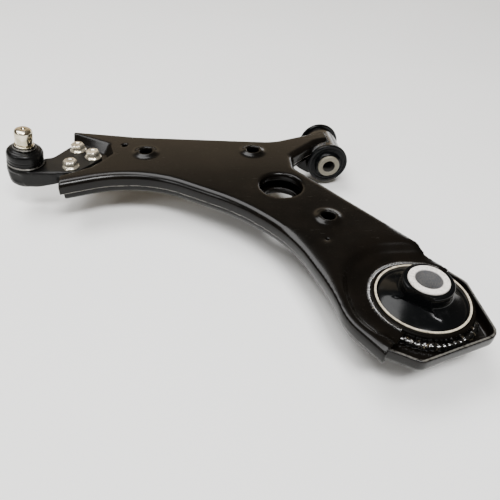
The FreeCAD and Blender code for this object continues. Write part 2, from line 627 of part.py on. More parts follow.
def flange_bolts():
    solids = []
    for x, y in BOLT_PLACES:
        points = hexagon(12.0, 1.5)
        head = Part.Face(Part.makePolygon(points)).extrude(vec(0, 0, 6.5))
        crown = Part.makeCone(BOLT_HEX * 0.75, BOLT_HEX * 0.42, 8.4)
        head = head.common(crown)
        flange = turned([(0.0, 0.0), (BOLT_FLANGE_R, 0.0), (BOLT_FLANGE_R, 0.9), (7.6, 2.2), (0.0, 2.2)])
        shank = Part.makeCylinder(BOLT_R, 19.0, vec(0, 0, -19.0))
        dimple = Part.makeSphere(9.0, vec(0, 0, 16.3))
        bolt = flange.fuse([head, shank]).cut(dimple)
        bolt.translate(vec(x, y, PLATE_TOP_Z))
        solids.append(bolt)
    return Part.Compound(solids)


def flange_nuts():
    solids = []
    seat_z = POCKET_Z - 2 * SHEET
    for x, y in BOLT_PLACES:
        points = hexagon(0.0, -7.5)
        body = Part.Face(Part.makePolygon(points)).extrude(vec(0, 0, 6.5))
        flange = turned([(0.0, 0.0), (0.0, -2.0), (7.8, -2.0), (BOLT_FLANGE_R, -0.9), (BOLT_FLANGE_R, 0.0)])
        nut = body.fuse(flange).cut(Part.makeCylinder(BOLT_R, 20, vec(0, 0, -15)))
        nut.translate(vec(x, y, seat_z))
        solids.append(nut)
    return Part.Compound(solids)


SHELL_STORE = {}


def upper_shell_cached():
    if "upper" not in SHELL_STORE:
        SHELL_STORE["upper"] = upper_shell()
    return SHELL_STORE["upper"]


def lower_shell_cached():
    if "lower" not in SHELL_STORE:
        SHELL_STORE["lower"] = lower_shell()
    return SHELL_STORE["lower"]


MAKERS = {
    "upper_shell": upper_shell_cached,
    "lower_shell": lower_shell_cached,
    "front_eye_tube": front_eye_tube,
    "eye_tube_welds": eye_tube_welds,
    "rear_housing_ring": rear_housing_ring,
    "rear_ring_welds": rear_ring_welds,
    "shell_seam_welds": shell_seam_welds,
    "front_bush_outer_sleeve": front_bush_outer_sleeve,
    "front_bush_rubber": front_bush_rubber,
    "front_bush_inner_sleeve": front_bush_inner_sleeve,
    "rear_bush_outer_sleeve": rear_bush_outer_sleeve,
    "rear_bush_rubber": rear_bush_rubber,
    "rear_bush_core": rear_bush_core,
    "ball_joint_housing": ball_joint_housing,
    "ball_socket_liner": ball_socket_liner,
    "ball_stud": ball_stud,
    "ball_joint_cap": ball_joint_cap,
    "dust_boot": dust_boot,
    "boot_lower_ring": boot_lower_ring,
    "boot_upper_ring": boot_upper_ring,
    "flange_bolts": flange_bolts,
    "flange_nuts": flange_nuts,
}

os.makedirs("parts", exist_ok=True)
for node, make in MAKERS.items():
    shape = make()
    print(node, "solids", len(shape.Solids), "valid", shape.isValid(), "mm3", round(shape.Volume))
    shape.exportStep("parts/" + node + ".step")
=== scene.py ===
import bpy
import bmesh
import json
import math
from mathutils import Matrix, Vector


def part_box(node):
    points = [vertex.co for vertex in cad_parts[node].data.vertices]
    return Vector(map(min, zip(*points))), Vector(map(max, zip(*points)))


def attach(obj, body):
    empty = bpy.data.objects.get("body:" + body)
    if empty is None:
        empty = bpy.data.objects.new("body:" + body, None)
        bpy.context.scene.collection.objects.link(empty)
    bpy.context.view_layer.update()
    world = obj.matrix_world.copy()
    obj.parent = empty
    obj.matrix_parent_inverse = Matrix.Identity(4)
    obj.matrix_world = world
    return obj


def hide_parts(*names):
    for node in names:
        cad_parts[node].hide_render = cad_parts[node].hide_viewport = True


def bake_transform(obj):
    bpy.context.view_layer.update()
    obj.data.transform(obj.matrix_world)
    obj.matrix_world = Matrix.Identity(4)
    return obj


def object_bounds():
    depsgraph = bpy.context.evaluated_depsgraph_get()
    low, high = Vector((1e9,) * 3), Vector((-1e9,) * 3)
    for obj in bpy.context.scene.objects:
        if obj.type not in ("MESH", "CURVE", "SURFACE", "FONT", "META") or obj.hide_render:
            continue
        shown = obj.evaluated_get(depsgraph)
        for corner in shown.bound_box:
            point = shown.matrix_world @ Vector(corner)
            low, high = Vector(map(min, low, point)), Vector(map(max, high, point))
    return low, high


# Pressed steel control arm: painted shells, welded ring and tube, two rubber bushes, bolted ball joint.
# Origin in the middle of the front bush; +Y along its bore, +Z square to the flat top, -X to the ball joint.
# Places are in metres, turned profiles in millimetres.

MM = 0.001
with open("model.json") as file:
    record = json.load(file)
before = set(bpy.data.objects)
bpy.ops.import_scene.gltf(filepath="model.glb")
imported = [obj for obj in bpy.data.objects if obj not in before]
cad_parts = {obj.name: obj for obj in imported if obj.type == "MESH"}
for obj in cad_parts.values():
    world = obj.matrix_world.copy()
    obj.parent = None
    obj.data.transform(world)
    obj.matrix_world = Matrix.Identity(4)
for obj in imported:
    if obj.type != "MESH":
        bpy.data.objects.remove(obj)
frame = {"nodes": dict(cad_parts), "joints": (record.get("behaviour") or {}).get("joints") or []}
nodes = frame["nodes"]
joints = {joint["name"]: joint for joint in frame["joints"]}
cad_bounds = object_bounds()


# ---------------------------------------------------------------- shader expressions

class Value:
    """A shader socket that can stand in an expression; each operator adds a Math node."""

    def __init__(self, finish, socket):
        self.finish = finish
        self.socket = socket

    def math(self, operation, other=None, swap=False, clamp=False):
        pair = (other, self) if swap else (self, other)
        inputs = {i: v for i, v in enumerate(pair) if v is not None}
        return self.finish.add("ShaderNodeMath", {"operation": operation, "use_clamp": clamp}, inputs)

    def __add__(self, other):
        return self.math("ADD", other)

    def __radd__(self, other):
        return self.math("ADD", other, swap=True)

    def __sub__(self, other):
        return self.math("SUBTRACT", other)

    def __rsub__(self, other):
        return self.math("SUBTRACT", other, swap=True)

    def __mul__(self, other):
        return self.math("MULTIPLY", other)

    def __rmul__(self, other):
        return self.math("MULTIPLY", other, swap=True)

    def __truediv__(self, other):
        return self.math("DIVIDE", other)

    def over(self, low, high):
        """0 below low, 1 above high, smooth between them."""
        settings = {"interpolation_type": "SMOOTHSTEP", "clamp": True}
        return self.finish.add("ShaderNodeMapRange", settings, {0: self, 1: low, 2: high, 3: 0.0, 4: 1.0})

    def near(self, level, reach):
        """1 at a level, falling smoothly to 0 at reach away from it."""
        return 1.0 - abs(self - level).over(reach * 0.4, reach)

    def __abs__(self):
        return self.math("ABSOLUTE")

    def most(self, other):
        return self.math("MAXIMUM", other)


class Finish:
    """One procedural material: its node tree, and a Principled surface set by name."""

    def __init__(self, name):
        self.material = bpy.data.materials.new(name)
        self.material.use_nodes = True
        self.tree = self.material.node_tree
        self.surface = self.tree.nodes["Principled BSDF"]
        self.here = self.add("ShaderNodeTexCoord", {}, {}, "Object")
        parts = self.add("ShaderNodeSeparateXYZ", {}, {0: self.here}, None)
        self.x, self.y, self.z = (Value(self, parts.outputs[i]) for i in range(3))

    def add(self, kind, settings, inputs, output=0):
        """Adds a node: its settings first, then values or links of its sockets."""
        node = self.tree.nodes.new(kind)
        for key, value in settings.items():
            if key == "stops":
                self.set_stops(node, value)
            else:
                setattr(node, key, value)
        for key, value in inputs.items():
            self.feed(node.inputs[key], value)
        if output is None:
            return node
        return Value(self, node.outputs[output])

    def set_stops(self, node, stops):
        elements = node.color_ramp.elements
        while len(elements) < len(stops):
            elements.new(0.5)
        for element, (place, colour) in zip(elements, stops):
            element.position = place
            element.color = (*colour, 1.0)

    def feed(self, socket, value):
        if isinstance(value, Value):
            self.tree.links.new(value.socket, socket)
        elif isinstance(value, tuple) and socket.type == "RGBA":
            socket.default_value = (*value, 1.0)
        else:
            socket.default_value = value

    def noise(self, scale, detail=2.0, rough=0.5, stretch=None, warp=0.0):
        place = self.here
        if stretch is not None:
            place = self.add("ShaderNodeMapping", {}, {0: place, 3: stretch})
        inputs = {"Vector": place, "Scale": scale, "Detail": detail, "Roughness": rough, "Distortion": warp}
        return self.add("ShaderNodeTexNoise", {}, inputs)

    def cells(self, scale):
        """Distance to the nearest of scattered cell centres."""
        inputs = {"Vector": self.here, "Scale": scale}
        return self.add("ShaderNodeTexVoronoi", {"feature": "F1"}, inputs, "Distance")

    def mix(self, share, first, second):
        settings = {"data_type": "RGBA"}
        return self.add("ShaderNodeMix", settings, {0: share, 6: first, 7: second}, 2)

    def ramp(self, value, stops):
        return self.add("ShaderNodeValToRGB", {"stops": stops}, {0: value})

    def bump(self, height, depth, below=None):
        """Surface relief; depth is the real height in metres of a change of 1 in height."""
        inputs = {"Height": height, "Distance": depth, "Strength": 1.0}
        if below is not None:
            inputs["Normal"] = below
        return self.add("ShaderNodeBump", {}, inputs)

    def set(self, **sockets):
        for key, value in sockets.items():
            self.feed(self.surface.inputs[key.replace("_", " ")], value)
        return self.material


def hue(red, green, blue):
    """Linear colour from display values of 0 to 255."""
    return tuple(((v / 255.0 + 0.055) / 1.055) ** 2.4 if v > 10 else v / 255.0 / 12.92
                 for v in (red, green, blue))


# tones that show on or through the finishes; the edge steel and slag tones also serve as painted highlights
DUST = hue(88, 82, 72)
SCUFFED = hue(96, 92, 86)
PALE_EDGE_STEEL_AND_HIGHLIGHT = hue(168, 164, 156)
# pale tone for the cut edges: bare steel, and also a painted edge highlight
SCALE_GREY = hue(84, 82, 78)
# slag tone, which also serves as a painted glint on the welds
SLAG_AND_GLINT = hue(124, 112, 90)
SPATTER = hue(128, 120, 108)
SCRATCHED_ZINC = hue(90, 90, 92)
RUST = hue(96, 66, 44)


# ---------------------------------------------------------------- finishes

def black_paint(name, rims=(), gloss=0.17, peel_depth=0.000012, bare_and_highlight=0.7, ior=1.27):
    """Dipped black paint: clouded film, orange peel, settled dust, fine scuffs, thin film on edges.
    rims are (axis, level, reach) bands along the sheared edge, painted pale: partly bare steel where the film
    is thin, partly a painted highlight where the edge catches the light."""
    f = Finish(name)
    cloud = f.noise(16.0, 4.0, 0.6)
    film = f.noise(55.0, 3.0, 0.55)
    peel = f.noise(420.0, 2.0, 0.45)
    specks = 1.0 - f.cells(1100.0).over(0.05, 0.14)
    dusty = f.noise(90.0, 2.0, 0.6).over(0.52, 0.7)
    scuff = f.noise(60.0, 3.0, 0.7, stretch=(1.0, 14.0, 1.0), warp=0.4).over(0.66, 0.74)
    base = f.mix(cloud.over(0.35, 0.72), hue(6, 5, 4), hue(14, 11, 8))
    base = f.mix(specks * dusty * 0.5, base, DUST)
    base = f.mix(scuff * 0.10, base, SCUFFED)
    rough = gloss + film * 0.10 + scuff * 0.12 + specks * dusty * 0.3
    edge_band = None
    for axis, level, reach in rims:
        band = getattr(f, axis).near(level, reach)
        edge_band = band if edge_band is None else edge_band.most(band)
    if edge_band is not None:
        # painted pale band along the cut edge: partly thin paint over bare steel, partly a painted edge
        # highlight
        chipped_and_lit = edge_band * f.noise(160.0, 3.0, 0.6).over(0.30, 0.50)
        base = f.mix(chipped_and_lit * bare_and_highlight, base, PALE_EDGE_STEEL_AND_HIGHLIGHT)
        rough = rough + chipped_and_lit * 0.16
    relief = f.bump(peel + specks * dusty * 0.6, peel_depth)
    return f.set(Base_Color=base, Roughness=rough, Normal=relief, Coat_Weight=0.05, Coat_Roughness=0.05,
                 IOR=ior)


def forged_paint():
    """Black paint over a forged skin: pitted scale, rubbed high spots."""
    f = Finish("painted_forging")
    scale = f.noise(240.0, 5.0, 0.62)
    pits = f.cells(620.0).over(0.02, 0.35)
    cloud = f.noise(45.0, 3.0, 0.6)
    base = f.mix(cloud.over(0.3, 0.7), hue(6, 6, 6), hue(15, 14, 12))
    base = f.mix(scale.over(0.60, 0.76) * 0.16, base, SCALE_GREY)
    rough = 0.26 + scale * 0.22
    relief = f.bump(scale * 0.7 + pits * 0.3, 0.00016)
    return f.set(Base_Color=base, Roughness=rough, Normal=relief, Coat_Weight=0.04, Coat_Roughness=0.12,
                 IOR=1.27)


def weld_metal():
    """Painted weld: black film over ripples, with slag patches whose pale tone is partly a painted glint, and
    spatter dots that stay brighter.
    """
    f = Finish("painted_weld")
    slag = f.noise(300.0, 4.0, 0.65)
    spatter = 1.0 - f.cells(420.0).over(0.10, 0.22)
    # pale slag patches: partly slag, partly a painted glint
    base = f.mix(slag.over(0.56, 0.74) * 0.5, hue(7, 7, 7), SLAG_AND_GLINT)
    base = f.mix(spatter * 0.25, base, SPATTER)
    relief = f.bump(slag + spatter * 0.7, 0.00022)
    return f.set(Base_Color=base, Roughness=0.05 + slag * 0.12, Normal=relief, Coat_Weight=1.0,
                 Coat_Roughness=0.05)


def turned_face(name, pale, dark, metal, grain, depth, rough_low, rough_span, axis, centre, bore, bore_shade):
    """Cut metal: fine rings round an axis, granular blotches, dark pits; the bore is painted its own duller
    tone, a painted shade for the inside of the hole.
    """
    f = Finish(name)
    across = {"x": (f.y, f.z), "y": (f.x, f.z), "z": (f.x, f.y)}[axis]
    a = across[0] - centre[0]
    b = across[1] - centre[1]
    radius = (a * a + b * b).math("SQRT")
    rings = (radius * 9000.0 + f.noise(160.0, 2.0) * 4.0).math("SINE") * 0.5 + 0.5
    speck = f.noise(grain, 4.0, 0.7)
    stain = f.noise(70.0, 3.0, 0.6)
    base = f.ramp(speck * 0.75 + stain * 0.25, [(0.30, dark), (0.52, pale), (0.80, pale)])
    base = f.mix(stain.over(0.60, 0.78) * 0.3, base, dark)
    # painted shade inside the bore
    shaded_bore_wall = f.mix(f.noise(1300.0, 3.0, 0.75).over(0.40, 0.62), bore_shade, dark)
    base = f.mix(radius.over(bore + 0.0001, bore + 0.0007), shaded_bore_wall, base)
    rough = rough_low + speck * rough_span
    relief = f.bump(speck + rings * 0.18, depth)
    return f.set(Base_Color=base, Roughness=rough, Metallic=metal, Normal=relief)


def zinc_plate(name, pale, dark, rough_low, metal=1.0):
    """Zinc plating: bright crystals, dull handling marks, faint scratches."""
    f = Finish(name)
    crystal = f.cells(480.0)
    bloom = f.noise(120.0, 4.0, 0.6)
    scratch = f.noise(140.0, 3.0, 0.7, stretch=(1.0, 9.0, 2.0)).over(0.60, 0.70)
    base = f.mix(bloom.over(0.38, 0.70), pale, dark)
    base = f.mix(scratch * 0.25, base, SCRATCHED_ZINC)
    rough = rough_low + bloom * 0.16 + scratch * 0.12
    relief = f.bump(crystal * 0.5 + bloom, 0.000012)
    return f.set(Base_Color=base, Roughness=rough, Metallic=metal, Normal=relief)


def rubber(name, tone, rough_low, sheen_patch, grain_depth, bloom_tone):
    """Moulded rubber: fine grain, faint bloom, shinier where the mould was polished."""
    f = Finish(name)
    grain = f.noise(1500.0, 3.0, 0.6)
    patch = f.noise(38.0, 3.0, 0.55)
    bloom = f.noise(110.0, 4.0, 0.65).over(0.55, 0.80)
    base = f.mix(bloom * 0.35, tone, bloom_tone)
    rough = rough_low + patch * sheen_patch + bloom * 0.10
    relief = f.bump(grain + patch * 0.8, grain_depth)
    return f.set(Base_Color=base, Roughness=rough, Normal=relief, IOR=1.25)


def sheared_sleeve(name, axis, level):
    """Thin sleeve: its cut rim is pale and burred, its barrel is grey phosphated steel."""
    f = Finish(name)
    burr = f.noise(900.0, 3.0, 0.65)
    stain = f.noise(130.0, 4.0, 0.6)
    rim = getattr(f, axis).near(level, 0.0009)
    face = f.ramp(burr * 0.6 + stain * 0.4, [(0.34, hue(96, 88, 74)), (0.52, hue(214, 203, 180)),
                                            (0.8, hue(232, 224, 206))])
    barrel = f.mix(stain.over(0.4, 0.7), hue(58, 56, 52), hue(92, 88, 80))
    base = f.mix(rim, barrel, face)
    relief = f.bump(burr, 0.00006)
    return f.set(Base_Color=base, Roughness=0.42 + burr * 0.2, Metallic=0.25, Normal=relief)


def bearing_plastic():
    f = Finish("bearing_plastic")
    flow = f.noise(90.0, 3.0, 0.5, stretch=(1.0, 1.0, 5.0))
    grain = f.noise(1200.0, 2.0)
    base = f.mix(flow.over(0.3, 0.7), hue(206, 198, 178), hue(184, 172, 148))
    return f.set(Base_Color=base, Roughness=0.38 + grain * 0.12, Normal=f.bump(grain, 0.00001))


def spring_wire():
    f = Finish("spring_wire")
    drawn = f.noise(500.0, 3.0, 0.6)
    rust = f.noise(160.0, 4.0, 0.6).over(0.6, 0.8)
    base = f.mix(drawn.over(0.4, 0.7), hue(128, 126, 122), hue(86, 84, 80))
    base = f.mix(rust * 0.4, base, RUST)
    return f.set(Base_Color=base, Roughness=0.28 + drawn * 0.2, Metallic=0.9, Normal=f.bump(drawn, 0.00002))


upper_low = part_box("upper_shell")[0]
ring_low, ring_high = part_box("rear_housing_ring")
sleeve_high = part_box("rear_bush_outer_sleeve")[1]
REAR = (ring_low + ring_high) / 2.0
LIP_Z = 14.0 * MM           # upper edge of the lower shell's walls
RING_R = (ring_high.x - ring_low.x) / 2.0

UPPER_PAINT = black_paint("black_paint_upper", [("z", upper_low.z + 0.5 * MM, 0.55 * MM)])
LOWER_PAINT = black_paint("black_paint_lower", [("z", LIP_Z + 0.1 * MM, 0.5 * MM)], bare_and_highlight=0.25)
RING_PAINT = black_paint("black_paint_ring", gloss=0.16, peel_depth=0.00002)
TUBE_PAINT = black_paint("black_paint_tube", gloss=0.16, peel_depth=0.00001, ior=1.6)
FORGED = forged_paint()
WELD = weld_metal()
CORE_ALLOY = turned_face("cast_alloy_core", hue(236, 230, 222), hue(140, 137, 132), metal=0.1, grain=700.0,
                         depth=0.00006, rough_low=0.50, rough_span=0.25, axis="z", centre=(REAR.x, REAR.y),
                         bore=0.011, bore_shade=hue(112, 114, 120))
CORE_STEEL = turned_face("turned_steel_core", hue(124, 119, 105), hue(80, 76, 66), metal=0.35, grain=900.0,
                         depth=0.00004, rough_low=0.45, rough_span=0.24, axis="y", centre=(0.0, 0.0),
                         bore=0.007, bore_shade=hue(24, 28, 36))
SLEEVE_REAR = sheared_sleeve("pressed_sleeve_rear", "z", sleeve_high.z)
SLEEVE_FRONT = sheared_sleeve("pressed_sleeve_front", "y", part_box("front_bush_outer_sleeve")[1].y)
BUSH_RUBBER = rubber("bush_rubber", hue(7, 8, 9), rough_low=0.12, sheen_patch=0.10, grain_depth=0.000004,
                     bloom_tone=hue(30, 30, 31))
BOOT_RUBBER = rubber("boot_rubber", hue(9, 9, 9), rough_low=0.20, sheen_patch=0.14, grain_depth=0.00001,
                     bloom_tone=hue(38, 36, 34))
STUD_ZINC = zinc_plate("stud_plating", hue(226, 217, 196), hue(176, 166, 140), rough_low=0.10)
BOLT_ZINC = zinc_plate("bolt_plating", hue(236, 228, 208), hue(160, 154, 142), rough_low=0.13, metal=0.82)
CAP_ZINC = zinc_plate("cap_plating", hue(190, 190, 184), hue(120, 118, 110), rough_low=0.30)
PLASTIC = bearing_plastic()
WIRE = spring_wire()

CAD_FINISH = {
    "rear_housing_ring": RING_PAINT, "front_eye_tube": TUBE_PAINT, "rear_bush_core": CORE_ALLOY,
    "front_bush_inner_sleeve": CORE_STEEL, "rear_bush_outer_sleeve": SLEEVE_REAR,
    "front_bush_outer_sleeve": SLEEVE_FRONT, "ball_socket_liner": PLASTIC, "ball_joint_cap": CAP_ZINC,
}
for name, finish in CAD_FINISH.items():
    for material_slot in nodes[name].material_slots:
        material_slot.material = finish


# ---------------------------------------------------------------- making pieces

def add_object(name, data):
    thing = bpy.data.objects.new(name, data)
    bpy.context.scene.collection.objects.link(thing)
    return thing


def applied_mesh(piece):
    """The piece's mesh with its modifiers applied."""
    bpy.context.view_layer.update()
    seen = bpy.context.evaluated_depsgraph_get()
    return bpy.data.meshes.new_from_object(piece.evaluated_get(seen), depsgraph=seen)


def new_piece(name, vertices, faces, finish):
    mesh = bpy.data.meshes.new(name)
    mesh.from_pydata([tuple(v) for v in vertices], [], faces)
    mesh.materials.append(finish)
    mesh.validate()
    return add_object(name, mesh)


def close_and_smooth(piece, angle=38.0):
    """Joins doubled vertices, points the faces outwards, smooths all but the sharp edges."""
    work = bmesh.new()
    work.from_mesh(piece.data)
    bmesh.ops.remove_doubles(work, verts=work.verts, dist=1e-6)
    bmesh.ops.dissolve_degenerate(work, edges=work.edges, dist=1e-7)
    bmesh.ops.recalc_face_normals(work, faces=work.faces)
    limit = math.radians(angle)
    for edge in work.edges:
        edge.smooth = len(edge.link_faces) != 2 or edge.calc_face_angle(0.0) < limit
    for face in work.faces:
        face.smooth = True
    work.to_mesh(piece.data)
    work.free()
    return piece


def stand(piece, axis, place):
    """Turns a mesh made about Z so that its axis is the one given, and puts it in place."""
    turn = Vector((0, 0, 1)).rotation_difference(Vector(axis)).to_matrix().to_4x4()
    piece.data.transform(Matrix.Translation(Vector(place)) @ turn)
    return piece


def lathe(name, profile, finish, steps=96, squeeze=None):
    """Turned piece about Z from (radius, height) points, in millimetres, listed as a closed loop.
    squeeze(radius, height, angle) may change the radius."""
    vertices = []
    for k in range(steps):
        angle = 2.0 * math.pi * k / steps
        for radius, height in profile:
            r = squeeze(radius, height, angle) if squeeze else radius
            vertices.append((r * MM * math.cos(angle), r * MM * math.sin(angle), height * MM))
    count = len(profile)
    faces = []
    for k in range(steps):
        here = k * count
        after = ((k + 1) % steps) * count
        for i in range(count):
            j = (i + 1) % count
            faces.append((here + i, after + i, after + j, here + j))
    return close_and_smooth(new_piece(name, vertices, faces, finish))


def flowing(points, rounds=2, sharp=()):
    """Softens a closed loop of profile points by cutting its corners, keeping those listed in sharp."""
    keep = {points[i] for i in sharp}
    for _ in range(rounds):
        softer = []
        for i, here in enumerate(points):
            after = points[(i + 1) % len(points)]
            if here in keep:
                softer.append(here)
            else:
                softer.append((here[0] * 0.75 + after[0] * 0.25, here[1] * 0.75 + after[1] * 0.25))
            if after not in keep:
                softer.append((here[0] * 0.25 + after[0] * 0.75, here[1] * 0.25 + after[1] * 0.75))
        points = softer
    return points


def seats(node):
    """Centre and height span of each separate solid of a CAD node."""
    work = bmesh.new()
    work.from_mesh(nodes[node].data)
    bmesh.ops.remove_doubles(work, verts=work.verts, dist=1e-6)
    left = set(work.verts)
    found = []
    while left:
        group = {left.pop()}
        edge_of_group = list(group)
        while edge_of_group:
            vertex = edge_of_group.pop()
            for edge in vertex.link_edges:
                other = edge.other_vert(vertex)
                if other in left:
                    left.remove(other)
                    group.add(other)
                    edge_of_group.append(other)
        xs, ys, zs = zip(*((v.co.x, v.co.y, v.co.z) for v in group))
        found.append((Vector(((min(xs) + max(xs)) / 2, (min(ys) + max(ys)) / 2, 0)), min(zs), max(zs)))
    work.free()
    return sorted(found, key=lambda seat: seat[0].x)


def eased(piece, chosen, rounds):
    """Extra smoothing, as strong at each vertex as chosen(place, normal) says, from 0 to 1."""
    group = piece.vertex_groups.new(name="eased")
    for vertex in piece.data.vertices:
        weight = chosen(vertex.co, vertex.normal)
        if weight > 0.0:
            group.add([vertex.index], weight, "REPLACE")
    ease = piece.modifiers.new("ease", "SMOOTH")
    ease.vertex_group = "eased"
    ease.factor = 0.6
    ease.iterations = rounds
    mesh = applied_mesh(piece)
    piece.modifiers.clear()
    piece.vertex_groups.clear()
    piece.data = mesh


STEP_CLEARANCE = 0.051      # the smoothing keeps this far from the ring's axis
STEP_FOOT_Z = 0.009         # heights between which the step lies
STEP_HEAD_Z = 0.026
STEP_START_Y = -0.180       # where the smoothing starts on the way to the rear bush
STEP_FADE = 0.018           # and the distance over which it comes in
WALL_NORMAL = 0.62          # a surface whose normal rises less than this is a wall and is left alone
LEVEL_SPAN = 0.30


def rear_valley(place, normal):
    """The drawn step round the rear plateau, away from the ring and the walls."""
    away = math.hypot(place.x - REAR.x, place.y - REAR.y)
    if away < STEP_CLEARANCE or not STEP_FOOT_Z < place.z < STEP_HEAD_Z:
        return 0.0
    inward = min((STEP_START_Y - place.y) / STEP_FADE, 1.0)
    level = min((abs(normal.z) - WALL_NORMAL) / LEVEL_SPAN, 1.0)
    return max(inward, 0.0) * max(level, 0.0)


NECK_FROM_X = -0.345
NECK_TO_X = -0.298
NECK_NEAR_Y = -0.066
NECK_UPPER_Z = 0.008


def neck_edge(place, _):
    """The upper edge of the forging's neck, on the side of the rear bush."""
    along = NECK_FROM_X < place.x < NECK_TO_X
    return 1.0 if along and place.y < NECK_NEAR_Y and place.z > NECK_UPPER_Z else 0.0


def softened(name, node, grid, rounds, finish, chosen=None, extra=0):
    """A CAD node's shape with the rounded edges of pressed or forged metal: regridded, then smoothed."""
    mesh = nodes[node].data.copy()
    piece = add_object(name, mesh)
    work = bmesh.new()
    work.from_mesh(mesh)
    bmesh.ops.remove_doubles(work, verts=work.verts, dist=1e-6)
    work.to_mesh(mesh)
    work.free()
    regrid = piece.modifiers.new("regrid", "REMESH")
    regrid.mode = "VOXEL"
    regrid.voxel_size = grid
    regrid.use_smooth_shade = True
    ease = piece.modifiers.new("ease", "SMOOTH")
    ease.factor = 0.5
    ease.iterations = rounds
    result = applied_mesh(piece)
    bpy.data.objects.remove(piece)
    result.materials.clear()
    result.materials.append(finish)
    piece = add_object(name, result)
    for face in result.polygons:
        face.use_smooth = True
        face.material_index = 0
    if chosen is not None:
        eased(piece, chosen, extra)
    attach(piece, "arm")
    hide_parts(node)
    return piece


# ---------------------------------------------------------------- geometry node trees

def new_tree(name, inputs):
    """Geometry node tree with named inputs: (name, socket type, first value)."""
    tree = bpy.data.node_groups.new(name, "GeometryNodeTree")
    tree.interface.new_socket("Geometry", in_out="INPUT", socket_type="NodeSocketGeometry")
    tree.interface.new_socket("Geometry", in_out="OUTPUT", socket_type="NodeSocketGeometry")
    for label, kind, value in inputs:
        socket = tree.interface.new_socket(label, in_out="INPUT", socket_type=kind)
        if value is not None:
            socket.default_value = value
    return tree, tree.nodes.new("NodeGroupInput"), tree.nodes.new("NodeGroupOutput")


def node_in(tree, kind, settings=None, **links):
    """Adds a node. A link is named by its socket, or by an underscore and the socket's number."""
    node = tree.nodes.new(kind)
    for key, value in (settings or {}).items():
        setattr(node, key, value)
    for key, value in links.items():
        socket = node.inputs[int(key[1:])] if key[0] == "_" else node.inputs[key]
        if isinstance(value, bpy.types.NodeSocket):
            tree.links.new(value, socket)
        else:
            socket.default_value = value
    return node


def grown(piece, tree, values):
    """Runs a geometry tree on a piece and keeps the result as a plain mesh."""
    modifier = piece.modifiers.new("grow", "NODES")
    modifier.node_group = tree
    for item in tree.interface.items_tree:
        if item.item_type == "SOCKET" and item.in_out == "INPUT" and item.name in values:
            modifier[item.identifier] = values[item.name]
    mesh = applied_mesh(piece)
    piece.modifiers.clear()
    name = piece.name
    bpy.data.objects.remove(piece)
    return add_object(name, mesh)


WELD_STEP = 0.28 * MM       # spacing of the sections along a bead
WELD_SECTION = 22           # points round each section


